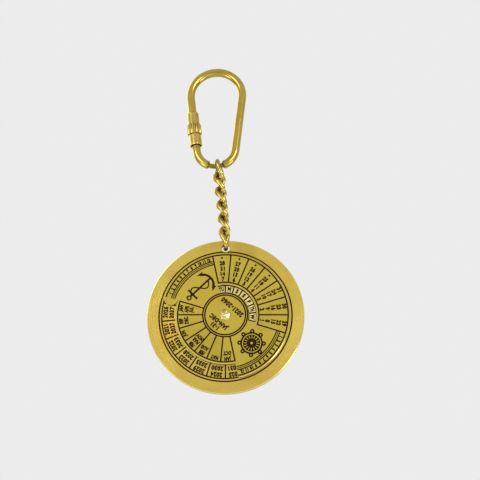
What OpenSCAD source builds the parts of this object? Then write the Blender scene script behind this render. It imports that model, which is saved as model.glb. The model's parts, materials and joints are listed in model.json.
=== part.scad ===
// Perpetual calendar keyring: a screw-gate hook, six twisted links and a disc with a turning dial.
// It hangs from the inside of the hook's top bow, which is the origin. The face looks along -Y.

/* [Hook] */
// Diameter of the hook's wire
wire_d = 2.5; // [2.2:0.1:2.8]
// Radius of the top bow, to the middle of the wire
top_bow_r = 7.9; // [7.2:0.1:9]
// Radius of the bottom bow, to the middle of the wire
bottom_bow_r = 5.9; // [5.2:0.1:6.8]
// Height of the hook, between the middles of the wire
hook_h = 31.3; // [30:0.1:38]
// Diameter of the turned neck that the chain hangs on
neck_d = 1.4; // [1:0.1:1.8]
// Length of the neck along the bow
neck_l = 3.9; // [3:0.1:5]

/* [Screw gate] */
// Bare straight wire below the stop collar
collar_gap = 1.6; // [1:0.1:2]
// Diameter of the stop collar
collar_d = 3.7; // [3.4:0.1:4.2]
// Length of the stop collar
collar_l = 3.6; // [3:0.1:4]
// Depth of the recess under the stop collar
collar_recess = 0.6; // [0.3:0.1:1]
// Diameter of the knurled nut
nut_d = 4.3; // [4.2:0.1:4.8]
// Length of the knurled nut
nut_l = 3.2; // [3:0.1:3.6]
// Grooves round the nut
knurl_n = 20; // [12:1:28]
// Depth of a knurl groove
knurl_deep = 0.16; // [0.1:0.02:0.2]
// Diameter of the plain sleeve
sleeve_d = 3.6; // [3.5:0.1:4.2]
// Length of the plain sleeve
sleeve_l = 4; // [3:0.1:4]
// Length of the sleeve's tapered top
sleeve_taper = 0.3; // [0.2:0.1:0.8]
// Length of the upper wire inside the sleeve
sleeve_grip = 2.2; // [1.4:0.1:2.4]
// Wall of the sleeve's hub, which the nut turns on
hub_wall = 0.24; // [0.2:0.02:0.26]
// Step of the flange that keeps the nut on the hub
flange_step = 0.16; // [0.1:0.02:0.18]
// Thickness of the hub's flange
flange_t = 0.3; // [0.25:0.05:0.4]
// Thickness of the nut's top web
web_t = 0.7; // [0.5:0.1:0.8]
// Length of the threaded tip above the collar
tip_l = 1.7; // [1.2:0.1:1.8]
// Pitch of the thread
thread_lead = 0.6; // [0.4:0.05:0.8]
// Depth of the thread
thread_deep = 0.15; // [0.1:0.01:0.25]

/* [Chain] */
// Wire of the twisted links
link_d = 1.3; // [1.1:0.05:1.5]
// Wire of the first link
first_link_d = 1.5; // [1.3:0.05:1.7]
// Length of a link, between the middles of its wire
link_l = 5.8; // [5.5:0.1:7]
// Width of a link, between the middles of its wire
link_w = 3.4; // [3.3:0.1:4.2]
// Twist of a link from end to end, in degrees
link_twist = 95; // [80:5:100]
// Turn from each link to the next, past square, in degrees
link_turn_angle = 5; // [0:1:8]
// Twist of the last link, which goes through the disc, in degrees
last_twist = 45; // [30:5:60]
// Turn of the last link's lower bend from straight through the hole, in degrees
last_turn = 10; // [0:1:12]
// Lean of the hanging chain, towards the right
chain_slant = 5.5; // [0:0.5:6]

/* [Disc] */
// Diameter of the base disc
disc_d = 45; // [41:0.5:52]
// Thickness of the base disc
disc_t = 1.6; // [1.2:0.1:1.7]
// Chamfer round the base disc
disc_chamfer = 0.25; // [0.1:0.05:0.5]
// Diameter of the hanging hole
hole_d = 2.4; // [2.2:0.1:2.8]
// Metal between the hanging hole and the disc's edge
hole_rim = 1.1; // [0.9:0.1:1.5]
// Radius of the engraved line round the dial
border_r = 19; // [18.8:0.1:19.2]
// Turn of the base's calendar past the dial's, as the dial was left, in degrees
reading_turn = 5.5; // [0:0.5:17]

/* [Dial] */
// Diameter of the turning dial
dial_d = 37; // [34:0.5:37.4]
// Thickness of the turning dial
dial_t = 0.6; // [0.5:0.05:1.4]
// Chamfer round the dial
dial_chamfer = 0.2; // [0.05:0.01:0.24]
// Angle where the date columns start, in degrees from +X
date_start = -18; // [-30:0.5:0]
// Inner radius of the year cut
year_in_r = 14.3; // [13.9:0.1:14.8]
// Outer radius of the year cells
year_out_r = 18.2; // [17.6:0.1:18.3]
// Radius of the lobe that ends the year cut
lobe_r = 2; // [1:0.1:2.1]
// Inner radius of the weekday window
day_in_r = 6.7; // [6.4:0.1:7]
// Outer radius of the weekday window
day_out_r = 8.9; // [8.5:0.1:9.2]
// Inner radius of the date columns
date_in_r = 9.6; // [9.3:0.1:10.2]
// Outer radius of the date columns
date_out_r = 17.9; // [17:0.1:18]
// Outer radius of the month columns
month_out_r = 13.6; // [13:0.1:13.8]
// Radius of the outer ring round the middle
ring_out_r = 6.4; // [6.2:0.05:6.6]
// Radius of the inner ring round the middle
ring_in_r = 5.8; // [5.2:0.05:6]
// Radius of the innermost of the three lines under the plain bands
band_in_r = 15.4; // [15:0.1:15.6]
// Radius of the outermost of the three lines under the plain bands
band_out_r = 16.3; // [16:0.1:16.8]

/* [Engraving] */
// Width of an engraved line
line_w = 0.42; // [0.2:0.02:0.46]
// Width of each of the three lines under the plain bands
band_w = 0.24; // [0.14:0.02:0.28]
// Depth of an engraved line
line_deep = 0.12; // [0.06:0.01:0.2]
// Radius of the ship's wheel over its handles
wheel_r = 3.9; // [3:0.1:4.2]
// Distance of the ship's wheel from the middle
wheel_at = 11.2; // [10.6:0.1:11.2]
// Length of the anchor
anchor_l = 8.6; // [7:0.1:9]

/* [Pivot] */
// Diameter of the rivet's shank
shank_d = 2; // [1.6:0.1:2.6]
// Diameter of the rivet's domed head
head_d = 3.2; // [2.8:0.1:4.4]
// Height of the domed head
head_h = 0.6; // [0.4:0.05:1]
// Diameter of the rivet's countersunk back
back_d = 3; // [2.8:0.1:4]
// Diameter of the friction washer
washer_d = 7; // [5:0.5:10]
// Thickness of the friction washer
washer_t = 0.15; // [0.1:0.01:0.3]

/* [Fits] */
// Radial clearance of the parts that slide or turn
run_fit = 0.05; // [0.02:0.01:0.1]
// Radial clearance of the soldered stop collar
solder_fit = 0.01; // [0.005:0.005:0.03]
// Gap between the ends of the gate's pieces
seat_gap = 0.05; // [0.02:0.01:0.1]
// Play where two links hang in each other
chain_play = 0.08; // [0.04:0.01:0.15]

/* [Hidden] */
$fn = 96;
eps = 0.01;
brass = [0.74, 0.62, 0.28];
dial_brass = [0.72, 0.62, 0.24];
bright_brass = [0.82, 0.71, 0.38];

// The hook is two bows with straight legs tangent to both
wire_r = wire_d / 2;
top_z = wire_r - top_bow_r;
bow_step = hook_h - top_bow_r - bottom_bow_r;
bottom_z = top_z - bow_step;
leg_tilt = asin((top_bow_r - bottom_bow_r) / bow_step);
leg_l = bow_step * cos(leg_tilt);
// The legs run a little way into the bows, and are a hair thinner so that they stay inside them
leg_lap = 0.3;
leg_r = wire_r - eps;
neck_z = bottom_z - bottom_bow_r;
neck_half = neck_l / 2 / bottom_bow_r * 180 / PI;

// Places along the left leg, upwards from its lower end
collar_top = collar_gap + collar_l;
nut_bottom = collar_top + seat_gap;
nut_top = nut_bottom + nut_l;
sleeve_bottom = nut_top + seat_gap;
sleeve_top = sleeve_bottom + sleeve_l;
tip_top = collar_top + tip_l;
bore_r = wire_r + run_fit;
hub_r = bore_r + hub_wall;
flange_r = hub_r + flange_step;
flange_top = nut_top - web_t - seat_gap;
flange_bottom = flange_top - flange_t;

// Heights of the links, from the neck down, and the direction that each end opens in
link_n = 6;
function link_wire(i) = i == 0 ? first_link_d : link_d;
function link_top(i) =
  i == 0
  ? neck_z + (neck_d + first_link_d) / 2 + chain_play
  : link_top(i - 1) - link_l + (link_wire(i - 1) + link_wire(i)) / 2 + chain_play;
last_top = 90 + last_turn - last_twist;
function turn_top(i) = i == 0 ? 90 : last_top - (link_n - 1 - i) * link_turn_angle;
function turn_bottom(i) =
  i == 0 ? turn_top(1) + 90 : turn_top(i) + (i == link_n - 1 ? last_twist : link_twist);

// The disc hangs with its rim inside the last link's lower bend
bend_r = link_w / 2;
bend_in_r = bend_r - link_d / 2 - 1.5 * chain_play;
rim_half = disc_t / 2 / cos(last_turn);
hang_z = link_top(link_n - 1) - link_l;
hang_l = bottom_z - hang_z;
hole_top_z = hang_z + bend_r - sqrt(pow(bend_in_r, 2) - pow(rim_half, 2));
disc_r = disc_d / 2;
hole_at = disc_r - hole_rim - hole_d / 2;
disc_x = hang_l * sin(chain_slant);
disc_z = hole_top_z + hang_l * (1 - cos(chain_slant)) - hole_d / 2 - hole_at;
dial_r = dial_d / 2;
dial_back = disc_t + washer_t;
dial_front = dial_back + dial_t;

// The calendar is 21 columns, of which the dial shows 7 months and 7 dates
column_n = 21;
column = 360 / column_n;
shown_n = 7;
date_end = date_start + shown_n * column;
month_start = date_start + 180;
month_end = month_start + shown_n * column;
wheel_turn = (month_end + date_start + 360) / 2;
anchor_turn = (date_end + month_start) / 2;
// Lines that meet the year cut run on into it, and lines that end on a spoke run most of the way across it
cut_lap = 1;
function corner_lap(r) = 0.4 * line_w / r * 180 / PI;

// A piece of the disc, drawn flat with its face up, set upright
module on_disc() {
  translate([disc_x, disc_t / 2, disc_z]) rotate([90, 0, 0]) children();
}

// The chain leans about the middle of the bottom bow, so that it stays on the neck
module on_chain() {
  translate([0, 0, bottom_z]) rotate([0, -chain_slant, 0]) translate([0, 0, -bottom_z]) children();
}

// Along the left leg of the hook, with z going up the wire
module on_gate_leg() {
  translate([-bottom_bow_r * cos(leg_tilt), 0, bottom_z - bottom_bow_r * sin(leg_tilt)])
    rotate([0, -leg_tilt, 0]) children();
}

// A stretch of round wire bent about a centre height z, from one angle to another
module bow(z, r, d, from, to) {
  translate([0, 0, z]) rotate([90, 0, 0]) rotate([0, 0, from])
    rotate_extrude(angle = to - from) translate([r, 0]) circle(d = d);
}

// Straight wire between two places along a leg
module leg_wire(from, to) {
  translate([0, 0, from]) cylinder(r = leg_r, h = to - from);
}

// A block that fills a stretch of a ring
module arc_block(r_in, r_out, from, to, h) {
  rotate([0, 0, from]) rotate_extrude(angle = to - from) translate([r_in, 0]) square([r_out - r_in, h]);
}

// Engraved line along a circle, at the height of the face, a hair deeper than the spokes that run into it
module arc_line(r, from, to, face, w = line_w) {
  translate([0, 0, face - line_deep - eps])
    arc_block(r - w / 2, r + w / 2, from, to, 2 * line_deep);
}

// Engraved line along a spoke, at the height of the face
module spoke_line(angle, r_in, r_out, face) {
  rotate([0, 0, angle]) translate([r_in, -line_w / 2, face - line_deep])
    cube([r_out - r_in, line_w, 3 * line_deep]);
}

// Rounded flat plate with its edges chamfered
module plate(r, t, chamfer) {
  rotate_extrude()
    polygon([[0, 0], [r - chamfer, 0], [r, chamfer], [r, t - chamfer], [r - chamfer, t], [0, t]]);
}

// Middle line of a link: two half circles and two straights, twisted about the link's length
link_steps = 9;
link_sides = 10;
twist_from = 0.12;
twist_to = 0.88;
function ease(u) = u <= 0 ? 0 : u >= 1 ? 1 : u * u * (3 - 2 * u);
function link_flat(straight) = [
  for (k = [0:link_steps - 1])
    let (a = 180 * k / link_steps) [bend_r * cos(a), straight + bend_r * sin(a)],
  for (k = [0:link_steps - 1])
    [-bend_r, straight - 2 * straight * k / link_steps],
  for (k = [0:link_steps - 1])
    let (a = 180 + 180 * k / link_steps) [bend_r * cos(a), -straight + bend_r * sin(a)],
  for (k = [0:link_steps - 1])
    [bend_r, -straight + 2 * straight * k / link_steps]
];
function link_angle(i, z) =
  let (u = (z / link_l + 0.5 - twist_from) / (twist_to - twist_from))
  turn_bottom(i) + (turn_top(i) - turn_bottom(i)) * ease(u);
function link_line(i) = [
  for (p = link_flat((link_l - link_w) / 2))
    let (a = link_angle(i, p[1])) [p[0] * cos(a), p[0] * sin(a), p[1]]
];
function unit(v) = v / norm(v);
// Rings of points round the middle line, square to it
function link_rings(line, angles, r) = [
  for (k = [0:len(line) - 1])
    let (
      along = unit(line[(k + 1) % len(line)] - line[(k + len(line) - 1) % len(line)]),
      flat = [-sin(angles[k]), cos(angles[k]), 0],
      across = unit(flat - (flat * along) * along),
      out = cross(across, along)
    )
    for (s = [0:link_sides - 1])
      let (a = 360 * s / link_sides) line[k] + r * (cos(a) * out + sin(a) * across)
];
function link_faces(rings) = [
  for (k = [0:rings - 1])
    for (s = [0:link_sides - 1])
      let (
        a = k * link_sides + s,
        b = k * link_sides + (s + 1) % link_sides,
        c = (k + 1) % rings * link_sides + s,
        d = (k + 1) % rings * link_sides + (s + 1) % link_sides
      )
      each [[a, b, c], [b, d, c]]
];
module chain_link(i) {
  line = link_line(i);
  angles = [for (p = link_flat((link_l - link_w) / 2)) link_angle(i, p[1])];
  color(brass)
    on_chain()
      translate([0, 0, link_top(i) - link_l / 2])
        polyhedron(link_rings(line, angles, link_wire(i) / 2), link_faces(len(line)));
}

// Hook: top bow, right leg, bottom bow with its neck, and the two wires that meet in the gate
module hook_wire() {
  color(brass) {
    bow(top_z, top_bow_r, wire_d, -leg_tilt, 180 + leg_tilt);
    bow(bottom_z, bottom_bow_r, wire_d, 180 + leg_tilt, 270 - neck_half);
    bow(bottom_z, bottom_bow_r, wire_d, 270 + neck_half, 360 - leg_tilt);
    bow(bottom_z, bottom_bow_r, neck_d, 265 - neck_half, 275 + neck_half);
    mirror([1, 0, 0]) on_gate_leg() leg_wire(-leg_lap, leg_l + leg_lap);
    on_gate_leg() leg_wire(sleeve_top - sleeve_grip, leg_l + leg_lap);
    on_gate_leg()
      difference() {
        leg_wire(-leg_lap, tip_top);
        for (z = [tip_top - thread_lead / 2:-thread_lead:nut_bottom])
          translate([0, 0, z]) thread_groove();
      }
  }
}
module thread_groove() {
  rotate_extrude()
    polygon([
      [wire_r - thread_deep, 0],
      [wire_r + eps, -thread_lead / 3],
      [wire_r + thread_deep, 0],
      [wire_r + eps, thread_lead / 3]
    ]);
}

// Collar soldered on the lower wire, hollow underneath
module stop_collar() {
  fit_r = wire_r + solder_fit;
  recess_r = (fit_r + collar_d / 2) / 2;
  color(bright_brass)
    on_gate_leg()
      rotate_extrude()
        polygon([
          [recess_r, collar_gap],
          [collar_d / 2, collar_gap],
          [collar_d / 2, collar_top],
          [fit_r, collar_top],
          [fit_r, collar_gap + collar_recess],
          [recess_r, collar_gap + collar_recess]
        ]);
}

// Plain sleeve that slides on the upper wire, with a flanged hub inside the nut
module gate_sleeve() {
  sleeve_r = sleeve_d / 2;
  color(bright_brass)
    on_gate_leg()
      rotate_extrude()
        polygon([
          [bore_r, flange_bottom],
          [flange_r, flange_bottom],
          [flange_r, flange_top],
          [hub_r, flange_top],
          [hub_r, sleeve_bottom],
          [sleeve_r, sleeve_bottom],
          [sleeve_r, sleeve_top - sleeve_taper],
          [(sleeve_r + bore_r) / 2, sleeve_top],
          [bore_r, sleeve_top]
        ]);
}

// Nut that turns on the sleeve's hub and screws down on the threaded tip
module knurled_nut() {
  nut_r = nut_d / 2;
  chamfer = knurl_deep;
  web_z = nut_top - web_t;
  pocket_z = flange_bottom - seat_gap;
  color(bright_brass)
    on_gate_leg()
      difference() {
        rotate_extrude()
          polygon([
            [bore_r, nut_bottom],
            [nut_r - chamfer, nut_bottom],
            [nut_r, nut_bottom + chamfer],
            [nut_r, nut_top - chamfer],
            [nut_r - chamfer, nut_top],
            [hub_r + run_fit, nut_top],
            [hub_r + run_fit, web_z],
            [flange_r + run_fit, web_z],
            [flange_r + run_fit, pocket_z],
            [bore_r, pocket_z]
          ]);
        for (k = [0:knurl_n - 1])
          rotate([0, 0, 360 * k / knurl_n]) translate([nut_r, 0, nut_bottom - eps])
            cylinder(r = knurl_deep, h = nut_l + 2 * eps, $fn = 24);
      }
}

module chain_link_1() { chain_link(0); }
module chain_link_2() { chain_link(1); }
module chain_link_3() { chain_link(2); }
module chain_link_4() { chain_link(3); }
module chain_link_5() { chain_link(4); }
module chain_link_6() { chain_link(5); }

// Base disc with its hanging hole, the border line, and the year and weekday rings under the dial
module base_disc() {
  color(brass)
    on_disc()
      difference() {
        plate(disc_r, disc_t, disc_chamfer);
        translate([0, hole_at, -eps]) cylinder(d = hole_d, h = disc_t + 2 * eps);
        translate([0, 0, -eps]) cylinder(d = shank_d, h = disc_t + 2 * eps);
        translate([0, 0, -eps])
          cylinder(d1 = back_d + 2 * eps, d2 = shank_d, h = (back_d - shank_d) / 2 + eps);
        for (r = [border_r, year_out_r, day_out_r, day_in_r])
          arc_line(r, 0, 360, disc_t);
        for (k = [0:column_n - 1]) {
          spoke_line(month_start + reading_turn + k * column, year_in_r, year_out_r, disc_t);
          spoke_line(date_start + reading_turn + k * column, day_in_r, day_out_r, disc_t);
        }
      }
}

// Dial with the year cut, the weekday window and its engraved columns and ornaments
module dial() {
  color(dial_brass)
    on_disc()
      difference() {
        translate([0, 0, dial_back]) plate(dial_r, dial_t, dial_chamfer);
        translate([0, 0, dial_back - eps]) {
          cylinder(r = shank_d / 2 + run_fit, h = dial_t + 2 * eps);
          year_cut(dial_t + 2 * eps);
          rotate([0, 0, reading_turn / 2])
            arc_block(day_in_r, day_out_r, date_start, date_end, dial_t + 2 * eps);
        }
        column_lines();
        band_lines(date_end - corner_lap(band_in_r), month_start);
        band_lines(month_end - cut_lap, date_start + 360);
        arc_line(date_out_r, month_end - cut_lap, month_start + 360, dial_front);
        for (r = [ring_in_r, ring_out_r])
          arc_line(r, 0, 360, dial_front);
        rotate([0, 0, wheel_turn]) translate([wheel_at, 0, dial_front - line_deep])
          linear_extrude(line_deep + eps) ships_wheel();
        rotate([0, 0, anchor_turn]) translate([(ring_out_r + band_in_r) / 2, 0, dial_front - line_deep])
          linear_extrude(line_deep + eps) rotate(anchor_lean) translate([-anchor_l / 2, 0]) anchor();
      }
}

// Cut that shows the years: open to the rim, with one end round the band's lobe
module year_cut(h) {
  difference() {
    arc_block(year_in_r, disc_r, month_start, month_end, h);
    rotate([0, 0, month_start]) translate([(year_in_r + dial_r) / 2, 0, -eps])
      cylinder(r = lobe_r, h = h + 2 * eps);
  }
}

// Lines of the 7 date columns and the 7 month columns
module column_lines() {
  for (k = [0:shown_n]) {
    spoke_line(date_start + k * column, date_in_r, date_out_r, dial_front);
    spoke_line(month_start + k * column, ring_out_r, month_out_r, dial_front);
  }
  arc_line(date_in_r, date_start - corner_lap(date_in_r), date_end + corner_lap(date_in_r), dial_front);
  arc_line(month_out_r, month_start - corner_lap(month_out_r), month_end + corner_lap(month_out_r), dial_front);
}

// Three lines under one of the two plain bands
module band_lines(from, to) {
  for (r = [band_in_r, (band_in_r + band_out_r) / 2, band_out_r])
    arc_line(r, from, to, dial_front, band_w);
}

// Ship's wheel as engraved outlines: a rim, a spoked disc and eight handles
handle_n = 8;
spoke_n = 16;
module ships_wheel() {
  rim_r = 0.8 * wheel_r;
  disc_out = 0.62 * wheel_r;
  hub_out = 0.2 * wheel_r;
  knob_r = 0.13 * wheel_r;
  knob_at = wheel_r - knob_r;
  knob_w = 0.6 * line_w;
  bright_w = line_w / 2;
  outline(rim_r, line_w);
  difference() {
    circle(r = disc_out);
    circle(r = hub_out);
    for (k = [0:spoke_n - 1])
      rotate(360 * k / spoke_n) translate([hub_out / 2, -bright_w / 2]) square([disc_out, bright_w]);
  }
  outline(hub_out - bright_w, bright_w);
  for (k = [0:handle_n - 1])
    rotate(360 * k / handle_n) translate([knob_at, 0]) outline(knob_r, knob_w);
}

// Flat ring of a given outer radius and width
module outline(r, w) {
  difference() {
    circle(r = r);
    circle(r = r - w);
  }
}

// Anchor with its ring at the origin, its crown along +X and a rope wound about the shank
anchor_lean = -88;
anchor_w = 0.56;
arm_angle = 62;
module anchor() {
  ring_r = 0.09 * anchor_l;
  stock_at = 0.17 * anchor_l;
  stock_half = 0.22 * anchor_l;
  arm_r = 0.37 * anchor_l;
  arm_at = anchor_l - arm_r;
  outline(ring_r, line_w);
  translate([ring_r - line_w / 2, -anchor_w / 2]) square([anchor_l - ring_r, anchor_w]);
  translate([stock_at - anchor_w / 2, -stock_half]) square([anchor_w, 2 * stock_half]);
  translate([arm_at, 0])
    intersection() {
      outline(arm_r + anchor_w / 2, 1.2 * anchor_w);
      polygon([
        [0, 0],
        2 * arm_r * [cos(arm_angle), -sin(arm_angle)],
        [4 * arm_r, 0],
        2 * arm_r * [cos(arm_angle), sin(arm_angle)]
      ]);
    }
  for (s = [-1, 1])
    translate([arm_at, 0] + arm_r * [cos(arm_angle), s * sin(arm_angle)])
      rotate(s * (arm_angle + 90)) fluke();
  rope();
}

// Barbed point at the end of an anchor's arm
module fluke() {
  barb = 2 * anchor_w;
  half = 1.3 * anchor_w;
  point = 1.6 * anchor_w;
  polygon([[-barb, -half], [-barb / 2, 0], [-barb, half], [point, 0]]);
}

// Rope that winds from the ring across the shank, as one waving line
rope_steps = 30;
module rope() {
  from = 0.1 * anchor_l;
  to = 0.88 * anchor_l;
  swing = 0.17 * anchor_l;
  waves = 1;
  line = [
    for (k = [0:rope_steps])
      let (u = k / rope_steps) [from + (to - from) * u, swing * sin(360 * waves * u)]
  ];
  half = 0.45 * line_w;
  slope = 2 * PI * waves * swing / (to - from);
  side = [
    for (k = [0:rope_steps])
      let (a = atan(slope * cos(360 * waves * k / rope_steps))) half * [-sin(a), cos(a)]
  ];
  polygon(concat(
    [for (k = [0:rope_steps]) line[k] + side[k]],
    [for (k = [rope_steps:-1:0]) line[k] - side[k]]
  ));
}

// Thin washer that the dial drags on
module friction_washer() {
  color(bright_brass)
    on_disc()
      translate([0, 0, disc_t])
        difference() {
          cylinder(d = washer_d, h = washer_t);
          translate([0, 0, -eps]) cylinder(r = shank_d / 2 + run_fit, h = washer_t + 2 * eps);
        }
}

// Rivet with a domed head in front and a countersunk back
module pivot_rivet() {
  dome_r = (pow(head_d / 2, 2) + pow(head_h, 2)) / 2 / head_h;
  back_t = (back_d - shank_d) / 2;
  color(bright_brass)
    on_disc() {
      cylinder(d = shank_d, h = dial_front + seat_gap + eps);
      cylinder(d1 = back_d, d2 = shank_d, h = back_t);
      translate([0, 0, dial_front + seat_gap])
        intersection() {
          translate([0, 0, head_h - dome_r]) sphere(r = dome_r);
          cylinder(d = 2 * head_d, h = head_h);
        }
    }
}

hook_wire();
stop_collar();
gate_sleeve();
knurled_nut();
chain_link_1();
chain_link_2();
chain_link_3();
chain_link_4();
chain_link_5();
chain_link_6();
base_disc();
dial();
friction_washer();
pivot_rivet();
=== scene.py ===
import json
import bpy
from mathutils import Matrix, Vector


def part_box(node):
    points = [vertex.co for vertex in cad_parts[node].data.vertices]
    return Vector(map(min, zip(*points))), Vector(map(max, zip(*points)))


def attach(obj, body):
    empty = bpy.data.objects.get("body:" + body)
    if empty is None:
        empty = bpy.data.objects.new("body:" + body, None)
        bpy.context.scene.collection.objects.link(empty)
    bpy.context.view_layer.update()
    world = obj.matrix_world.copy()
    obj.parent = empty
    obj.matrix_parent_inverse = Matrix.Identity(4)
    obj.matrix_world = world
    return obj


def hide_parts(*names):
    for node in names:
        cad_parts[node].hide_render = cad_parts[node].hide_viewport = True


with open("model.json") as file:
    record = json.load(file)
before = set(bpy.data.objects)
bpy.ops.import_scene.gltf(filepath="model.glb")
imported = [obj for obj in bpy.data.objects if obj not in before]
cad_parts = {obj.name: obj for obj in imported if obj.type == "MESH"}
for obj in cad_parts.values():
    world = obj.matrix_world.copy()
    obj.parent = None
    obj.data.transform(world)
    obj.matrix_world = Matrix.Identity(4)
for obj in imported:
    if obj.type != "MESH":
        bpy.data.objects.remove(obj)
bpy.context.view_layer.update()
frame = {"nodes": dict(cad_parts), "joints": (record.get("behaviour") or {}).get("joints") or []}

from datetime import date
from math import asin, atan2, cos, hypot, pi, radians, sin, sqrt

import bpy
from mathutils import Matrix, Vector

mm = 0.001
hair = 0.02                              # slack, in mm, when points are told apart by place
cadNodes = frame["nodes"]
joints = {joint["name"]: joint for joint in frame["joints"]}
discCentre = Vector(joints["dial_turn"]["pos_m"])
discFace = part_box("base_disc")[0].y
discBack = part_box("base_disc")[1].y
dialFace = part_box("dial")[0].y


# hands: choosing, entering and leaving pieces

def pick(*pieces):
    if bpy.context.object and bpy.context.object.mode != "OBJECT":
        bpy.ops.object.mode_set(mode="OBJECT")
    bpy.ops.object.select_all(action="DESELECT")
    for piece in pieces:
        piece.select_set(True)
    if pieces:
        bpy.context.view_layer.objects.active = pieces[0]


def openUp(piece):                       # into edit mode with everything chosen
    pick(piece)
    bpy.ops.object.mode_set(mode="EDIT")
    bpy.ops.mesh.select_all(action="SELECT")


def choose(piece, test):                 # into edit mode with the points that pass
    openUp(piece)
    bpy.ops.mesh.select_mode(type="VERT")
    bpy.ops.mesh.select_all(action="DESELECT")
    bpy.ops.object.mode_set(mode="OBJECT")
    for v in piece.data.vertices:
        v.select = test(v.co / mm)
    bpy.ops.object.mode_set(mode="EDIT")


def faceOut():                           # every face of the piece in edit mode points outwards
    bpy.ops.mesh.select_all(action="SELECT")
    bpy.ops.mesh.normals_make_consistent(inside=False)


def closeUp():
    bpy.ops.object.mode_set(mode="OBJECT")


def settle():                            # puts the chosen piece's place into its mesh
    bpy.ops.object.transform_apply(location=True, rotation=True, scale=True)


def fix(piece, name, smoothAngle=40):
    pick(piece)
    settle()
    bpy.ops.object.shade_smooth_by_angle(angle=radians(smoothAngle))
    piece.name = piece.data.name = name
    return piece


def soften(piece, width, angle=40):      # rounds the edges that are sharper than the angle
    pick(piece)
    bevel = piece.modifiers.new("edges", "BEVEL")
    bevel.width, bevel.segments = width * mm, 3
    bevel.limit_method, bevel.angle_limit = "ANGLE", radians(angle)
    bpy.ops.object.modifier_apply(modifier=bevel.name)


def soil(piece, rule):                   # how grimy and shaded each point is, 0 to 1: grime with painted shade
    layer = piece.data.attributes.new("soil", "FLOAT", "POINT")
    for v in piece.data.vertices:
        layer.data[v.index].value = rule(v.co / mm)


def dress(piece, material, body=None, stands=()):
    if piece.material_slots:
        for each in piece.material_slots:
            each.material = material
    else:
        piece.data.materials.append(material)
    if body:
        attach(piece, body)
    if stands:
        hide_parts(*stands)


# shader maths: a socket that adds its own Math nodes

class Flow:
    def __init__(self, sheet, socket):
        self.sheet, self.socket = sheet, socket

    def maths(self, operation, first, second):
        return self.sheet.add("Math", {"operation": operation}, {0: first, 1: second})

    def __add__(self, other):
        return self.maths("ADD", self, other)

    def __sub__(self, other):
        return self.maths("SUBTRACT", self, other)

    def __rsub__(self, other):
        return self.maths("SUBTRACT", other, self)

    def __mul__(self, other):
        return self.maths("MULTIPLY", self, other)

    def __gt__(self, other):
        return self.maths("GREATER_THAN", self, other)

    def __lt__(self, other):
        return self.maths("LESS_THAN", self, other)

    __radd__ = __add__
    __rmul__ = __mul__


class Sheet:                             # one material's or the world's nodes
    def __init__(self, tree, shaderKind, outputKind):
        self.tree = tree
        tree.nodes.clear()
        self.shader = tree.nodes.new(shaderKind)
        tree.links.new(self.shader.outputs[0], tree.nodes.new(outputKind).inputs[0])

    def add(self, kind, settings, sockets, out=0):
        node = self.tree.nodes.new("ShaderNode" + kind)
        for key, value in settings.items():
            setattr(node, key, value)
        for key, value in sockets.items():
            self.feed(node.inputs[key], value)
        return Flow(self, node.outputs[out])

    def feed(self, socket, value):
        if isinstance(value, Flow):
            self.tree.links.new(value.socket, socket)
        elif hasattr(socket.default_value, "__len__") and len(value) < len(socket.default_value):
            socket.default_value = (*value, 1)
        else:
            socket.default_value = value

    def finish(self, sockets):
        for key, value in sockets.items():
            self.feed(self.shader.inputs[key], value)

    def blend(self, factor, first, second):                  # two colours
        settings = {"data_type": "RGBA", "clamp_factor": True}
        return self.add("Mix", settings, {0: factor, 6: first, 7: second}, out=2)

    def ease(self, value, low, high):                        # 0 below low, 1 above high
        settings = {"interpolation_type": "SMOOTHSTEP"}
        return self.add("MapRange", settings, {"Value": value, "From Min": low, "From Max": high})

    def between(self, value, low, high):                     # 1 from low to high, else 0
        return (value > low) * (value < high)

    def along(self, vector, axis):                           # a vector's X, Y or Z
        return self.add("SeparateXYZ", {}, {0: vector}, out=axis)

    def fromDisc(self, place):                               # metres from the disc's middle
        settings = {"operation": "DISTANCE"}
        return self.add("VectorMath", settings, {0: place, 1: discCentre}, out="Value")

    def noise(self, place, scale, detail=3.0, rough=0.55):
        sockets = {"Vector": place, "Scale": scale, "Detail": detail, "Roughness": rough}
        return self.add("TexNoise", {}, sockets)

    def stretched(self, place, turn, stretch):               # turned, then drawn out along its axes
        sockets = {"Vector": place, "Rotation": [radians(each) for each in turn], "Scale": stretch}
        return self.add("Mapping", {"vector_type": "TEXTURE"}, sockets)

    def bump(self, height, strength, deep, under=None):      # deep in mm, on top of the bump under it
        sockets = {"Height": height, "Strength": strength, "Distance": deep * mm}
        if under is not None:
            sockets["Normal"] = under
        return self.add("Bump", {}, sockets)


def newSheet(name):
    material = bpy.data.materials.new(name)
    material.use_nodes = True
    return material, Sheet(material.node_tree, "ShaderNodeBsdfPrincipled", "ShaderNodeOutputMaterial")


# brass: clouded and brushed, grime with painted shade where a piece says, inked in the engraved lines, worn
# edges with a painted highlight, and painted light on the disc under the dial

inkBrown = (0.022, 0.008, 0.0005)
# colour of grime and painted shade in recesses, bores and joins
grimeAndShadeBrown = (0.105, 0.066, 0.010)
lowSheen = 0.04                          # specular level of brass and ink

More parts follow.
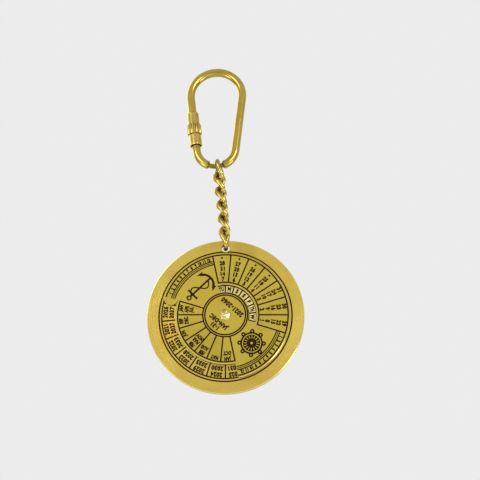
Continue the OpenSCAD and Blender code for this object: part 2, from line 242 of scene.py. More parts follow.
brassLooks = {                           # cloud, grain and grooves count to the metre, turn in degrees
    "hookBrass": {
        "tone": (0.47, 0.345, 0.068), "dull": (0.37, 0.265, 0.046), "warm": (0.48, 0.315, 0.056),
        "rough": 0.19, "cloud": 170, "grain": 1500, "turn": (0, 0, 0), "stretch": (1, 1, 9),
        "bump": 0.02, "streak": 0.05,
    },
    "gateBrass": {
        "tone": (0.56, 0.415, 0.105), "dull": (0.43, 0.31, 0.065), "warm": (0.54, 0.365, 0.080),
        "rough": 0.26, "cloud": 240, "grain": 2600, "turn": (0, 0, 0), "stretch": (6, 6, 1),
        "bump": 0.02, "streak": 0.10,
    },
    "chainBrass": {
        "tone": (0.52, 0.40, 0.100), "dull": (0.29, 0.205, 0.038), "warm": (0.47, 0.31, 0.060),
        "rough": 0.20, "cloud": 280, "grain": 4200, "turn": (0, 0, 0), "stretch": (1, 1, 2),
        "bump": 0.10, "streak": 0.20,
    },
    "discBrass": {
        "tone": (0.60, 0.445, 0.085), "dull": (0.48, 0.345, 0.060), "warm": (0.61, 0.365, 0.050),
        "rough": 0.30, "cloud": 80, "grain": 2600, "turn": (0, 62, 0), "stretch": (1, 1, 9),
        "bump": 0.16, "streak": 0.22,
        "grooves": 3400, "grooveBump": 0.45,                 # left by the lathe
        "cleanAndLit": (0.84, 0.68, 0.29), "cleanAndLitOut": 9.5,        # bright so far out: painted light where the dial shades the face, and cleaner brass where the dial rubs it
    },
    "dialBrass": {
        "tone": (0.53, 0.405, 0.060), "dull": (0.43, 0.325, 0.045), "warm": (0.54, 0.370, 0.050),
        "rough": 0.32, "cloud": 100, "grain": 2900, "turn": (0, 40, 0), "stretch": (1, 1, 9),
        "bump": 0.14, "streak": 0.22,
        "edges": ((8.9, 9.2, 44.75), (13.95, 14.3, 222)),    # worn edges with a painted highlight beside the cuts: from, to, turn of the middle
    },
    "rivetBrass": {
        "tone": (0.76, 0.62, 0.26), "dull": (0.50, 0.37, 0.09), "warm": (0.66, 0.47, 0.14),
        "rough": 0.20, "cloud": 800, "grain": 4200, "turn": (0, 0, 0), "stretch": (1, 1, 1),
        "bump": 0.12, "streak": 0.20,
    },
}

wear = {                                 # noise levels where each mark starts and is full
    "clouds": (0.40, 0.70), "cloudRough": 0.16,
    "patches": (0.55, 0.72), "patchShift": (0.31, 0.17, 0.05), "patchScale": 0.6, "patchShare": 0.6,
    "strokes": (0.50, 0.74), "strokeRough": 0.6, "strokeDeep": 0.02, "grooveDeep": 0.10,
    "specks": (0.64, 0.74), "speckScale": 0.25, "speckRough": 0.3,
    # grime with painted shade: where it starts and is full, its noise scale, and how much rougher it makes
    # the surface
    "grime": (0.25, 0.60), "grimeShadeScale": 1500, "grimeShadeRough": 0.25,
}

engraving = {                            # depths in mm under the face; facing is -1 towards the front
    "floor": (0.06, 0.17), "floorFacing": -0.90, "wall": (0.01, 0.13), "wallFacing": (-0.30, 0.30),
    "inkRough": 0.3,
    "chamferFacing": (-0.88, -0.40), "besideCut": 0.55, "cutHalf": 60,         # the cut's half span
    # worn edges with a painted highlight: where the noise lets it start and be full, its colour and share,
    # and how much smoother it is
    "brightened": (0.30, 0.50), "wornGlintTone": (0.80, 0.66, 0.26), "wornGlintShare": 0.7, "wornGlintRough": 0.08,
    # how much painted light, with cleaner brass, brightens the disc's face under the dial
    "frontFacing": -0.5, "cleanAndLitShare": 0.75,
}


# darkens with grime and painted shade where the piece's attribute says
def grimed(sheet, place, colour, rough):
    spread = sheet.ease(sheet.noise(place, wear["grimeShadeScale"]), *wear["grime"])
    grime = sheet.add("Attribute", {"attribute_name": "soil"}, {}, out="Fac") * spread
    return sheet.blend(grime, colour, grimeAndShadeBrown), rough + grime * wear["grimeShadeRough"]


def engraved(sheet, look, face, place, clouds, colour, rough):         # ink in lines, worn edges with a painted highlight, painted light under the dial
    depth = (sheet.along(place, "Y") - face) * (1 / mm)
    facing = sheet.along(sheet.add("TexCoord", {}, {}, out="Normal"), "Y")
    out = sheet.fromDisc(place)
    # painted light on the disc under the dial, which the dial shades, and cleaner brass where it rubs
    if "cleanAndLit" in look:
        covered = (out < look["cleanAndLitOut"] * mm) * (facing < engraving["frontFacing"])
        colour = sheet.blend(covered * engraving["cleanAndLitShare"], colour, look["cleanAndLit"])
    # worn edges with a painted highlight, on chamfers and beside the cuts
    brightened = sheet.between(facing, *engraving["chamferFacing"])
    for inner, outer, turn in look.get("edges", ()):
        across = (sheet.along(place, "X") - discCentre.x) * cos(radians(turn))
        up = (sheet.along(place, "Z") - discCentre.z) * sin(radians(turn))
        within = (across + up) > out * cos(radians(engraving["cutHalf"]))
        brightened = brightened + engraving["besideCut"] * sheet.between(out, inner * mm, outer * mm) * within
    brightened = brightened * sheet.ease(clouds, *engraving["brightened"])
    colour = sheet.blend(brightened * engraving["wornGlintShare"], colour, engraving["wornGlintTone"])
    floor = sheet.between(depth, *engraving["floor"]) * (facing < engraving["floorFacing"])
    wall = sheet.between(depth, *engraving["wall"]) * sheet.between(facing, *engraving["wallFacing"])
    ink = floor + wall
    rough = rough + ink * engraving["inkRough"] - brightened * engraving["wornGlintRough"]
    return sheet.blend(ink, colour, inkBrown), rough, 1 - ink


def brass(name, face=None):              # a flat piece gives where its face lies
    look = brassLooks[name]
    material, sheet = newSheet(name)
    place = sheet.add("TexCoord", {}, {}, out="Object")
    clouds = sheet.noise(place, look["cloud"], 4.0)
    shifted = sheet.add("Mapping", {}, {"Vector": place, "Location": wear["patchShift"]})
    patches = sheet.noise(shifted, look["cloud"] * wear["patchScale"], 2.0)
    strokes = sheet.noise(sheet.stretched(place, look["turn"], look["stretch"]), look["grain"], 2.0, 0.7)
    specks = sheet.noise(place, look["grain"] * wear["speckScale"], 3.0, 0.7)
    specks = sheet.ease(specks, *wear["specks"])
    colour = sheet.blend(sheet.ease(clouds, *wear["clouds"]), look["tone"], look["dull"])
    colour = sheet.blend(sheet.ease(patches, *wear["patches"]) * wear["patchShare"], colour, look["warm"])
    colour = sheet.blend(sheet.ease(strokes, *wear["strokes"]) * look["streak"], colour, look["dull"])
    colour = sheet.blend(specks * look["streak"], colour, look["dull"])
    streaks = wear["strokeRough"] * (strokes - 0.5) + wear["speckRough"] * specks
    rough = look["rough"] + wear["cloudRough"] * (clouds - 0.5) + look["streak"] * streaks
    metal = 1.0
    if face is None:
        colour, rough = grimed(sheet, place, colour, rough)
    else:
        colour, rough, metal = engraved(sheet, look, face, place, clouds, colour, rough)
    bump = sheet.bump(strokes, look["bump"], wear["strokeDeep"])
    if "grooves" in look:                # ringed round the middle
        rings = sheet.add("CombineXYZ", {}, {"X": sheet.fromDisc(place)})
        rings = sheet.noise(rings, look["grooves"], 2.0, 0.7)
        bump = sheet.bump(rings, look["grooveBump"], wear["grooveDeep"], bump)
    sheet.finish({"Base Color": colour, "Roughness": rough, "Metallic": metal, "Normal": bump,
                  "Specular IOR Level": lowSheen})
    return material


patinaLook = {"brightened": (0.050, 0.028, 0.005), "scale": 900, "from": 0.60, "to": 0.82,
              "rough": 0.5, "roughSpread": 0.25}


def patina():
    material, sheet = newSheet("inkPatina")
    rubbed = sheet.noise(sheet.add("TexCoord", {}, {}, out="Object"), patinaLook["scale"], 4.0, 0.65)
    faded = sheet.ease(rubbed, patinaLook["from"], patinaLook["to"])
    sheet.finish({"Base Color": sheet.blend(faded, inkBrown, patinaLook["brightened"]),
                  "Roughness": patinaLook["rough"] + patinaLook["roughSpread"] * rubbed,
                  "Metallic": 0.0, "Specular IOR Level": lowSheen})
    return material


hookBrass = brass("hookBrass")
gateBrass = brass("gateBrass")
chainBrass = brass("chainBrass")
discBrass = brass("discBrass", discFace)
dialBrass = brass("dialBrass", dialFace)
rivetBrass = brass("rivetBrass")
inkPatina = patina()
print("materials:", len(bpy.data.materials))


# camera, floor and soft light

studio = {
    "camera": (20.41, -290.46, -75.30),  # from the disc's centre
    "yaw": 3.207, "pitch": 18.647, "lens": 78.75, "sensor": 36, "clip": (0.01, 20),
    "floor": -260, "floorSize": 6, "floorTone": (0.82, 0.82, 0.81),
    "paper": 0.84,                       # the pale wall all round
    "dusk": 0.45,                        # dimmer low down behind the camera
    "duskFront": (-0.2, 0.7), "duskHeight": (-0.10, 0.24),
    "aim": 35,                           # the lamps point so far above the disc's centre
    "lamps": (                           # place from the disc's centre, size, watts
        ("leftLamp", (-310, -460, 100), 250, 0.76),
        ("rightLamp", (290, -460, 85), 240, 1.15),
        ("lowLamp", (260, -80, -160), 160, 0.24),
        ("lowLeftLamp", (-240, -120, -165), 160, 0.22),
        ("backLamp", (-320, 220, 260), 420, 0.8),
    ),
}


def pointAlong(thing, ahead):
    thing.rotation_euler = ahead.to_track_quat("-Z", "Y").to_euler()


def setCamera():
    yaw, pitch = radians(studio["yaw"]), radians(studio["pitch"])
    bpy.ops.object.camera_add(location=discCentre + Vector(studio["camera"]) * mm)
    camera = bpy.context.object
    pointAlong(camera, Vector((-sin(yaw) * cos(pitch), cos(yaw) * cos(pitch), sin(pitch))))
    camera.data.sensor_width, camera.data.lens = studio["sensor"], studio["lens"]
    camera.data.clip_start, camera.data.clip_end = studio["clip"]
    bpy.context.scene.camera = camera


def layFloor():
    bpy.ops.mesh.primitive_plane_add(size=studio["floorSize"], location=(0, 0, studio["floor"] * mm))
    floor = bpy.context.object
    floor.name = "floor"
    material, sheet = newSheet("floorPaper")
    sheet.finish({"Base Color": studio["floorTone"], "Roughness": 0.9, "Specular IOR Level": 0.2})
    floor.data.materials.append(material)


def setSky():
    world = bpy.data.worlds.new("softSky")
    world.use_nodes = True
    bpy.context.scene.world = world
    sheet = Sheet(world.node_tree, "ShaderNodeBackground", "ShaderNodeOutputWorld")
    ray = sheet.add("TexCoord", {}, {})
    dusk = sheet.ease(-1 * sheet.along(ray, "Y"), *studio["duskFront"])
    dusk = dusk * (1 - sheet.ease(sheet.along(ray, "Z"), *studio["duskHeight"]))
    sheet.finish({"Color": studio["paper"] * (1 - studio["dusk"] * dusk), "Strength": 1.0})


def hangLamps():
    aim = discCentre + Vector((0, 0, studio["aim"] * mm))
    for name, place, size, watts in studio["lamps"]:
        spot = discCentre + Vector(place) * mm
        bpy.ops.object.light_add(type="AREA", location=spot)
        lamp = bpy.context.object
        lamp.name = name
        pointAlong(lamp, aim - spot)
        lamp.data.size, lamp.data.energy = size * mm, watts


bpy.context.scene.view_settings.view_transform = "Standard"
setCamera()
layFloor()
setSky()
hangLamps()
print("studio: camera, floor and", len(studio["lamps"]), "lamps")


# hook: one wire, drawn from its threaded tip round to the end inside the sleeve

hook = {
    "wire": 1.25, "sides": 28,
    "topBow": 7.9, "bottomBow": 5.9, "height": 31.3,
    "tipTop": 6.9, "tipThread": 1.8, "lead": 0.6, "threadDeep": 0.15, "threadEnd": 0.1,
    "gripStart": 10.3,
    "neck": 0.7, "neckLength": 3.9, "shoulder": 5.5,         # the shoulder's turn, in degrees
    "shoulderSizes": (1, 0.97, 0.87, 0.72), "neckFillet": 0.03,                # shares of the wire
    "sideSteps": 18, "neckSteps": 12, "topSteps": 56,
    "grimeShadeRings": (1.55, 0.8), "legGrimeShade": 0.5,              # painted shade and grime just under the collar, up from the leg's foot
    # painted shade and grime round the neck's shoulders
    "neckGrimeShade": 0.75, "neckGrimeShadeSide": 2.5, "neckGrimeShadeRise": 1.6,
}
topZ = hook["wire"] - hook["topBow"]
bowStep = hook["height"] - hook["topBow"] - hook["bottomBow"]
bottomZ = topZ - bowStep
neckZ = bottomZ - hook["bottomBow"]
tilt = asin((hook["topBow"] - hook["bottomBow"]) / bowStep)
legLength = bowStep * cos(tilt)
legUp = Vector((-sin(tilt), 0, cos(tilt)))
legFoot = Vector((-hook["bottomBow"] * cos(tilt), 0, bottomZ - hook["bottomBow"] * sin(tilt)))


def push(move, scale=1.0):               # extrudes the chosen face, then scales it about its middle
    bpy.ops.mesh.extrude_region_move(TRANSFORM_OT_translate={"value": move * mm})
    grow(scale)


def grow(scale):
    if scale != 1.0:
        bpy.ops.transform.resize(value=(scale,) * 3, center_override=chosenMiddle())


def chosenMiddle():
    piece = bpy.context.object
    piece.update_from_editmode()
    spots = [piece.matrix_world @ v.co for v in piece.data.vertices if v.select]
    return sum(spots, Vector()) / len(spots)


def swing(centreZ, angle, steps):        # spins the chosen face round a bow's centre
    bpy.ops.mesh.spin(steps=steps, angle=angle, center=(0, 0, centreZ * mm), axis=(0, 1, 0))


def hookSoil(p):                         # grime and painted shade at the neck's shoulders and under the collar
    high, low = hook["grimeShadeRings"]
    if p.z < neckZ + hook["neckGrimeShadeRise"] and abs(p.x) < hook["neckGrimeShadeSide"]:
        return hook["neckGrimeShade"]
    onRings = low - hair < (p - legFoot).dot(legUp) < high + hair
    return hook["legGrimeShade"] if onRings and p.x < 0 else 0.0


def taper(sizes, angle):                 # swings on while the wire goes from size to size
    for before, after in zip(sizes, sizes[1:]):
        swing(bottomZ, angle / (len(sizes) - 1), 1)
        grow(after / before)


def makeHook():
    wire = hook["wire"]
    root = 1 - hook["threadDeep"] / wire
    tip = (legFoot + legUp * hook["tipTop"]) * mm
    pick()
    bpy.ops.mesh.primitive_circle_add(vertices=hook["sides"], radius=wire * root * mm, fill_type="NGON",
                                      location=tip, rotation=(0, -tilt, 0))
    piece = bpy.context.object
    openUp(piece)
    for _ in range(round(hook["tipThread"] / hook["lead"])):           # thread, ridge by ridge
        push(-legUp * hook["lead"] / 2, 1 / root)
        push(-legUp * hook["lead"] / 2, root)
    push(-legUp * hook["threadEnd"], 1 / root)
    height = hook["tipTop"] - hook["tipThread"] - hook["threadEnd"]
    for ring in (*hook["grimeShadeRings"], 0):                    # down to the leg's foot
        push(-legUp * (height - ring))
        height = ring
    neckHalf = hook["neckLength"] / 2 / hook["bottomBow"]
    shoulder = radians(hook["shoulder"])
    narrow = hook["neck"] / wire
    sizes = [*hook["shoulderSizes"], narrow + hook["neckFillet"], narrow]
    side = pi / 2 - tilt - neckHalf - shoulder
    swing(bottomZ, side, hook["sideSteps"])
    taper(sizes, shoulder)
    swing(bottomZ, 2 * neckHalf, hook["neckSteps"])
    taper(sizes[::-1], shoulder)
    swing(bottomZ, side, hook["sideSteps"])
    push(Vector((-legUp.x, 0, legUp.z)) * legLength)
    swing(topZ, pi + 2 * tilt, hook["topSteps"])
    push(-legUp * (legLength - hook["gripStart"]))
    faceOut()
    closeUp()
    fix(piece, "hook_wire_bent")
    soil(piece, hookSoil)
    dress(piece, hookBrass, "hook", ["hook_wire"])


makeHook()
print("hook: bent wire with its neck and thread")


# gate: a plain collar, a grooved nut and a plain sleeve, turned along the leg

gate = {
    "sides": 72, "edge": 0.1, "margin": 0.35,                # a ring so near each end holds the grime and painted shade there
    "collar": {"from": 1.6, "to": 5.2, "out": 1.85, "bore": 1.26, "recess": 1.55, "recessDeep": 0.6,
               "grime": 0.9, "topGrimeShade": 0.45},
    "nut": {"from": 5.25, "to": 8.45, "out": 2.15, "bore": 1.30, "chamfer": 0.2, "chamferRound": 0.04,
            "chamferShare": 0.7, "ridges": 20, "ridgePoints": 6, "deep": 0.17, "flank": 0.45,
            "grime": 0.85, "grimeShadeDeep": 0.1},
    "sleeve": {"from": 8.5, "to": 12.5, "out": 1.8, "bore": 1.30, "edge": 0.08, "taper": 0.3,
               "taperMargin": 0.3, "grime": 0.6},
}


def turned(profile, sides):              # a ring run along a closed profile of radius and height
    pick()
    bpy.ops.mesh.primitive_circle_add(vertices=sides, radius=profile[0][0] * mm)
    piece = bpy.context.object
    openUp(piece)
    bpy.ops.transform.translate(value=(0, 0, profile[0][1] * mm))
    for (radius, z), (nextRadius, nextZ) in zip(profile, profile[1:]):
        bpy.ops.mesh.extrude_region_move(TRANSFORM_OT_translate={"value": (0, 0, (nextZ - z) * mm)})
        widen(nextRadius / radius)
    bpy.ops.mesh.select_all(action="DESELECT")
    bpy.ops.mesh.select_non_manifold()
    bpy.ops.mesh.bridge_edge_loops()
    faceOut()
    closeUp()
    return piece


def widen(scale):                        # scales what is chosen away from the axis
    bpy.ops.transform.resize(value=(scale, scale, 1), center_override=(0, 0, 0))


def ontoLeg(piece, name, smoothAngle=40):
    piece.matrix_world = Matrix.Translation(legFoot * mm) @ Matrix.Rotation(-tilt, 4, "Y")
    return fix(piece, name, smoothAngle)


def makeCollar():
    part = gate["collar"]
    low, high, margin = part["from"], part["to"], gate["margin"]
    out, bore, recess = part["out"], part["bore"], part["recess"]
    recessTop = low + part["recessDeep"]
    piece = turned([(recess, low), (out, low), (out, low + margin), (out, high - margin), (out, high),
                    (bore, high), (bore, recessTop), (recess, recessTop)], gate["sides"])
    soften(piece, gate["edge"])

    def grime(p):                        # painted shade and grime in the recess and the bore, and round the top edge
        if hypot(p.x, p.y) < recess + hair:
            return part["grime"]
        return part["topGrimeShade"] if p.z > high - gate["edge"] - hair else 0.0

    soil(piece, grime)
    dress(ontoLeg(piece, "stop_collar_turned"), gateBrass, "hook", ["stop_collar"])


def makeNut():
    part = gate["nut"]
    low, high, out, bore = part["from"], part["to"], part["out"], part["bore"]
    chamfer, eased = part["chamfer"], out - part["chamferRound"]
    rise = chamfer * part["chamferShare"]
    each = part["ridgePoints"]
    points = part["ridges"] * each
    piece = turned([(bore, low), (out - chamfer, low), (eased, low + rise), (out, low + chamfer),
                    (out, high - chamfer), (eased, high - rise), (out - chamfer, high),
                    (bore, high)], points)

    def place(p):                        # where a point of the rim lies on its ridge, or None inside
        onRim = hypot(p.x, p.y) > eased - hair
        return round(atan2(p.y, p.x) / (2 * pi / points)) % each if onRim else None

    for spots, inset in (((0,), part["deep"]), ((1, each - 1), part["deep"] * part["flank"])):
        choose(piece, lambda p: place(p) in spots)
        widen(1 - inset / out)
        closeUp()
    # painted shade and grime in the grooves between the ridges
    soil(piece, lambda p: part["grime"] if hypot(p.x, p.y) < out - part["grimeShadeDeep"] else 0.0)
    dress(ontoLeg(piece, "knurled_nut_cut", 30), gateBrass, "nut", ["knurled_nut"])


def makeSleeve():
    part = gate["sleeve"]
    low, high, out, bore = part["from"], part["to"], part["out"], part["bore"]
    taperFoot = high - part["taper"]
    piece = turned([(bore, low), (out, low), (out, low + gate["margin"]),
                    (out, taperFoot - part["taperMargin"]), (out, taperFoot),
                    ((out + bore) / 2, high), (bore, high)], gate["sides"])
    soften(piece, part["edge"], 30)
    edge = part["edge"] + hair

    def grime(p):                        # painted shade and grime round the foot and in the bore
        return part["grime"] if p.z < low + edge or hypot(p.x, p.y) < bore + edge else 0.0

    soil(piece, grime)
    dress(ontoLeg(piece, "gate_sleeve_turned"), gateBrass, "sleeve", ["gate_sleeve"])


makeCollar()
makeNut()
makeSleeve()
print("gate: collar, nut with", gate["nut"]["ridges"], "ridges, and sleeve")


# chain: a flat loop, twisted ring by ring, then given its wire

chain = {
    "count": 6, "wire": 0.65, "firstWire": 0.75, "length": 5.8, "width": 3.4, "play": 0.08,
    "seam": 0.84,                        # the wire's share where its two ends meet
    "twist": 95, "step": 5, "lastTwist": 45, "lastTurn": 10, "slant": 5.5,     # degrees
    "twistFrom": 0.12, "twistTo": 0.88,  # share of the length
    "points": 64, "cuts": 9, "rounding": 5, "ringSlack": 0.002,
    "bendStart": 0.12,                   # share of a bend that is cut up with the sides
    "grime": 0.6, "grimeShadeWire": 0.35,     # painted shade and grime inside the bends, and the share of the wire at a bend's end that stays clear of it
}


def linkLoop(twist, wire, name):         # centred, its top bend along x
    bend, half = chain["width"] / 2, chain["length"] / 2
    straight = half - bend
    pick()
    bpy.ops.mesh.primitive_circle_add(vertices=chain["points"], radius=bend * mm, rotation=(pi / 2, 0, 0))
    piece = fix(bpy.context.object, name)
    for sign in (1, -1):                 # the two bends move apart
        choose(piece, lambda p: p.z * sign > hair)
        bpy.ops.transform.translate(value=(0, 0, sign * straight * mm))
        closeUp()
    choose(piece, lambda p: abs(p.z) < straight + bend * chain["bendStart"])
    bpy.ops.mesh.subdivide(number_cuts=chain["cuts"])
    closeUp()
    for z in sorted({round(v.co.z / mm, 3) for v in piece.data.vertices}):
        u = (z / chain["length"] + 0.5 - chain["twistFrom"]) / (chain["twistTo"] - chain["twistFrom"])
        u = min(max(u, 0), 1)
        angle = twist * (1 - u * u * (3 - 2 * u))
        choose(piece, lambda p: abs(p.z - z) < chain["ringSlack"])
        bpy.ops.transform.rotate(value=radians(-angle), orient_axis="Z", center_override=(0, 0, 0))
        closeUp()
    pick(piece)
    bpy.ops.object.convert(target="CURVE")
    curve = bpy.context.object
    curve.data.bevel_depth, curve.data.bevel_resolution = wire * mm, chain["rounding"]
    points = curve.data.splines[0].points
    seam = min(points, key=lambda p: abs(p.co.z) + (0 if p.co.y > 0 else 1))
    seam.radius = chain["seam"]
    bpy.ops.object.convert(target="MESH")
    piece = bpy.context.object

    def grime(p):                        # painted shade and grime inside the bends, where the links meet and rub
        inBend = straight < abs(p.z) < half - wire * chain["grimeShadeWire"]
        return chain["grime"] if inBend and hypot(p.x, p.y) < bend else 0.0

    soil(piece, grime)
    return piece


def hang(piece, turn, top, name):        # on the line that leans about the bottom bow's middle
    drop = Matrix.Translation((0, 0, (top - chain["length"] / 2 - bottomZ) * mm))
    lean = Matrix.Translation((0, 0, bottomZ * mm)) @ Matrix.Rotation(radians(-chain["slant"]), 4, "Y")
    piece.matrix_world = lean @ drop @ Matrix.Rotation(radians(turn), 4, "Z")
    fix(piece, name, 60)


def makeChain():
    count, wire, firstWire = chain["count"], chain["wire"], chain["firstWire"]
    lastTop = 90 + chain["lastTurn"] - chain["lastTwist"]
    turns = [90] + [lastTop - (count - k) * chain["step"] for k in range(2, count + 1)]
    tops = [neckZ + hook["neck"] + firstWire + chain["play"]]
    tops.append(tops[0] - chain["length"] + firstWire + wire + chain["play"])
    while len(tops) < count:
        tops.append(tops[-1] - chain["length"] + 2 * wire + chain["play"])
    links = [linkLoop(turns[1], firstWire, "firstLink"), linkLoop(chain["twist"], wire, "link")]
    while len(links) < count - 1:
        pick(links[1])
        bpy.ops.object.duplicate()
        links.append(bpy.context.object)
    links.append(linkLoop(chain["lastTwist"], wire, "lastLink"))
    for k, (link, turn, top) in enumerate(zip(links, turns, tops), 1):
        hang(link, turn, top, f"chain_link_{k}_bent")
        dress(link, chainBrass, f"link_{k}", [f"chain_link_{k}"])


makeChain()
print("chain:", chain["count"], "twisted links")


# rivet: turned, then its head is hammered

rivet = {
    "shank": 1.0, "back": 1.5, "head": 1.6, "headHeight": 0.6, "lift": 0.05, "point": 0.02,
    "sides": 18, "rings": 4, "ringStep": 1.4,                # the rings crowd towards the head's rim
    "dent": 0.12, "dentFrom": 0.08, "seed": 5,
    # painted shade and grime under the head and round the foot at the back
    "seatGrimeShade": 0.9, "seatGrimeShadeTo": 0.06, "backGrimeShade": 0.5,
}


def makeRivet():
    shank, back, rise = rivet["shank"], rivet["back"], rivet["headHeight"]
    seat = (discBack - dialFace) / mm + rivet["lift"]        # under the head, from the disc's back
    dome = (rivet["head"] ** 2 + rise ** 2) / 2 / rise
    profile = [(rivet["point"], 0), (back, 0), (shank, back - shank), (shank, seat)]
    for k in range(rivet["rings"] + 1):
        height = rise * (k / rivet["rings"]) ** rivet["ringStep"]
        reach = sqrt(dome ** 2 - (dome - rise + height) ** 2)
        profile.append((max(reach, rivet["point"]), seat + height))
    piece = turned(profile, rivet["sides"])
    choose(piece, lambda p: p.z > seat + rivet["dentFrom"])
    bpy.ops.transform.vertex_random(offset=rivet["dent"] * mm, uniform=0.2, normal=0.8, seed=rivet["seed"])
    closeUp()

    def grime(p):                        # painted shade and grime under the head, and round the foot at the back
        if hair < p.z < seat + rivet["seatGrimeShadeTo"]:
            return rivet["seatGrimeShade"]
        return rivet["backGrimeShade"] if p.z < hair and hypot(p.x, p.y) > back - hair else 0.0

    soil(piece, grime)
    facing = Matrix(((1, 0, 0), (0, 0, -1), (0, 1, 0))).to_4x4()
    piece.matrix_world = Matrix.Translation((discCentre.x, discBack, discCentre.z)) @ facing
    dress(fix(piece, "pivot_rivet_hammered", 30), rivetBrass, "disc", ["pivot_rivet"])


makeRivet()
print("rivet: hammered head")


# lettering and ink: set round the disc's middle, tops outwards, and sunk half way into the face

inlay = {
    "half": 0.012, "weight": 0.128, "squeeze": 0.84, "spacing": 1.15,
    "capHeight": 0.72,                   # of a capital in text of size 1
    "merge": 0.0005, "curve": 3, "dotSides": 20, "ringSides": 40, "arcSteps": 32,
}


def faceFrame(radius, turn, face):       # x clockwise, y outwards, z towards the viewer
    a = radians(turn)
    out, along = Vector((cos(a), 0, sin(a))), Vector((sin(a), 0, -cos(a)))
    spot = Vector((discCentre.x, face, discCentre.z)) + out * radius * mm
    axes = Matrix((along, out, Vector((0, -1, 0)))).transposed().to_4x4()
    return Matrix.Translation(spot) @ axes


def mark(words, height, radius, turn, face, lean=0.0, squeeze=inlay["squeeze"]):
    half, weight = inlay["half"], inlay["weight"]
    pick()
    bpy.ops.object.text_add()
    text = bpy.context.object
    text.data.body, text.data.size = words, (height - 2 * weight) / inlay["capHeight"] * mm
    text.data.bevel_depth, text.data.bevel_resolution = weight * mm, 0         # fattens the strokes
    text.data.resolution_u, text.data.space_character = inlay["curve"], inlay["spacing"]
    text.data.shear = lean
    bpy.ops.object.convert(target="MESH")
    bpy.ops.object.origin_set(type="ORIGIN_GEOMETRY", center="BOUNDS")
    piece = bpy.context.object
    openUp(piece)
    bpy.ops.mesh.remove_doubles(threshold=inlay["merge"] * mm)
    faceOut()
    closeUp()
    piece.matrix_world = faceFrame(radius, turn, face) @ Matrix.Diagonal((squeeze, 1, half / weight, 1))
    settle()
    return piece


def dot(size, radius, turn, face):
    pick()
    bpy.ops.mesh.primitive_cylinder_add(vertices=inlay["dotSides"], radius=size / 2 * mm,
                                        depth=2 * inlay["half"] * mm)
    piece = bpy.context.object
    piece.matrix_world = faceFrame(radius, turn, face)
    settle()
    return piece


def smear(ring, place):                  # flat ring of ink
    inner, outer = ring
    half = inlay["half"]
    piece = turned([(inner, -half), (outer, -half), (outer, half), (inner, half)], inlay["ringSides"])
    piece.matrix_world = place
    settle()
    return piece


def smearArc(row, width, start, end):    # ink along an arc of the dial, spun from its cross-section
    pick()
    bpy.ops.mesh.primitive_plane_add(size=1)
    piece = bpy.context.object
    edgeways = Matrix(((0, 0, -1), (1, 0, 0), (0, -1, 0))).to_4x4()
    size = Matrix.Diagonal((width * mm, 2 * inlay["half"] * mm, 1, 1))
    piece.matrix_world = faceFrame(row, start, dialFace) @ edgeways @ size
    settle()
    openUp(piece)
    bpy.ops.mesh.spin(steps=inlay["arcSteps"], angle=radians(end - start),
                      center=(discCentre.x, dialFace, discCentre.z), axis=(0, 1, 0))
    faceOut()
    closeUp()
    return piece


def gather(pieces, name, body):
    pick(*pieces)
    bpy.ops.object.join()
    joined = bpy.context.object
    joined.data.materials.clear()
    joined.name = joined.data.name = name
    dress(joined, inkPatina, body)


columns = {"count": 21, "week": 7, "dateStart": -18.0, "reading": 5.5}         # reading: the dial's setting
step = 360 / columns["count"]
monthStart = columns["dateStart"] + 180
bandSpan = 180 - columns["week"] * step
bandStarts = [start + columns["week"] * step for start in (columns["dateStart"], monthStart)]


def columnTurn(start, column):           # the middle of a column
    return start + (column + 0.5) * step


years = {"first": 2021, "last": 2060, "rows": (17.18, 15.38), "height": 1.5}


def makeYears():
    week, each = columns["week"], len(years["rows"])
    classes = [[] for _ in range(week)]  # by the weekday of 1 March, Sunday first
    for year in range(years["first"], years["last"] + 1):
        classes[date(year, 3, 1).isoweekday() % week].append(year)
    pieces = []
    for cell in range(columns["count"]):
        first = cell // week * each
        turn = columnTurn(monthStart + columns["reading"], cell)
        for year, radius in zip(classes[cell % week][first:first + each], years["rows"]):
            pieces.append(mark(str(year), years["height"], radius, turn, discFace))
    gather(pieces, "year_numbers", "disc")


weekdays = {
    "letters": ("W", "TH", "F", "S", "S", "M", "TU"), "row": 7.8, "height": 1.4, "pairSqueeze": 0.62,
}


def makeWeekdays():
    pieces = []
    for cell in range(columns["count"]):
        turn = columnTurn(columns["dateStart"] + columns["reading"], cell)
        letters = weekdays["letters"][cell % columns["week"]]
        squeeze = weekdays["pairSqueeze"] if len(letters) > 1 else inlay["squeeze"]
        pieces.append(mark(letters, weekdays["height"], weekdays["row"], turn, discFace, squeeze=squeeze))
    gather(pieces, "weekday_letters", "disc")


dates = {"rows": (10.6, 12.2, 13.8, 15.4, 17.0), "height": 1.42, "dot": 0.6, "last": 31}


def makeDates():
    pieces = []
    for column in range(columns["week"]):
        turn = columnTurn(columns["dateStart"], column)
        for row, radius in enumerate(dates["rows"]):
            day = 1 + column + columns["week"] * row
            if day <= dates["last"]:
                pieces.append(mark(str(day), dates["height"], radius, turn, dialFace))
            else:
                pieces.append(dot(dates["dot"], radius, turn, dialFace))
    gather(pieces, "date_numbers", "dial")


months = {
    "rows": (12.65, 11.15, 9.65), "height": 1.3, "lean": 0.35, "squeeze": 0.66,
    "columns": (("jan", "APR", "JUL"), ("SEP", "DEC"), ("JUN",), ("FEB", "MAR", "NOV"),
                ("feb", "AUG"), ("MAY",), ("JAN", "OCT")),   # lower case: leap years, set leaning
}


def makeMonths():
    height, squeeze = months["height"], months["squeeze"]
    pieces = []
    for column, names in enumerate(months["columns"]):
        turn = columnTurn(monthStart, column)
        for name, radius in zip(names, months["rows"]):
            lean = months["lean"] if name.islower() else 0.0
            pieces.append(mark(name.upper(), height, radius, turn, dialFace, lean, squeeze))
    gather(pieces, "month_letters", "dial")


scales = {"count": 12, "row": 17.06, "height": 1.12, "squeeze": 0.74, "each": 4.6, "start": 4.8}


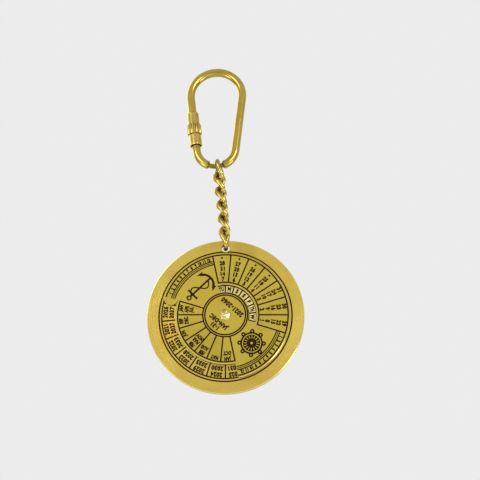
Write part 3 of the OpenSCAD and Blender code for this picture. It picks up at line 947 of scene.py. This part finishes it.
def makeScales():                        # the twelve months as plain numbers in the two bands
    height, row, squeeze = scales["height"], scales["row"], scales["squeeze"]
    pieces = []
    for start in bandStarts:
        for k in range(scales["count"]):
            turn = start + bandSpan - scales["start"] - k * scales["each"]
            pieces.append(mark(str(k + 1), height, row, turn, dialFace, squeeze=squeeze))
    gather(pieces, "band_scales", "dial")


middle = {"up": 228.0, "rows": ((-2.95, 1.6), (2.55, 1.45), (4.35, 1.45))}     # place, height


def makeMiddle():                        # the spans of years, months and days, set round the rivet
    spans = (f"{years['first']}-{years['last']}", "JAN-DEC", f"1-{dates['last']}")
    pieces = []
    for words, (row, height) in zip(spans, middle["rows"]):
        pieces.append(mark(words, height, row, middle["up"], dialFace))
    gather(pieces, "span_numbers", "dial")


bands = {"rows": (15.35, 16.33), "width": 0.34, "end": 1.2}  # end: degrees clear of the band's ends


def makeBands():                         # ink over two of each band's engraved lines
    pieces = []
    for start in bandStarts:
        for row in bands["rows"]:
            end = start + bandSpan - bands["end"]
            pieces.append(smearArc(row, bands["width"], start + bands["end"], end))
    gather(pieces, "band_ink", "dial")


wheel = {
    "at": 11.2, "turn": bandStarts[1] + bandSpan / 2,
    "rings": ((0.45, 1.40), (2.20, 2.44), (2.72, 3.20)),
    "knobs": 8, "knobAt": 3.42, "knobRing": (0.20, 0.64),
}


def makeWheel():                         # ink smeared over the engraved ship's wheel
    hub = faceFrame(wheel["at"], wheel["turn"], dialFace)
    pieces = [smear(ring, hub) for ring in wheel["rings"]]
    for k in range(wheel["knobs"]):
        a = 2 * pi * k / wheel["knobs"]
        knob = Vector((cos(a), sin(a), 0)) * wheel["knobAt"] * mm
        pieces.append(smear(wheel["knobRing"], hub @ Matrix.Translation(knob)))
    gather(pieces, "wheel_ink", "dial")


makeYears()
makeWeekdays()
makeDates()
makeMonths()
makeScales()
makeMiddle()
makeBands()
makeWheel()
print("lettering: years, weekdays, dates, months, scales and spans, with ink on the bands and the wheel")


dress(cadNodes["base_disc"], discBrass)
dress(cadNodes["dial"], dialBrass)
dress(cadNodes["friction_washer"], gateBrass)
print("solids kept: disc, dial and washer")
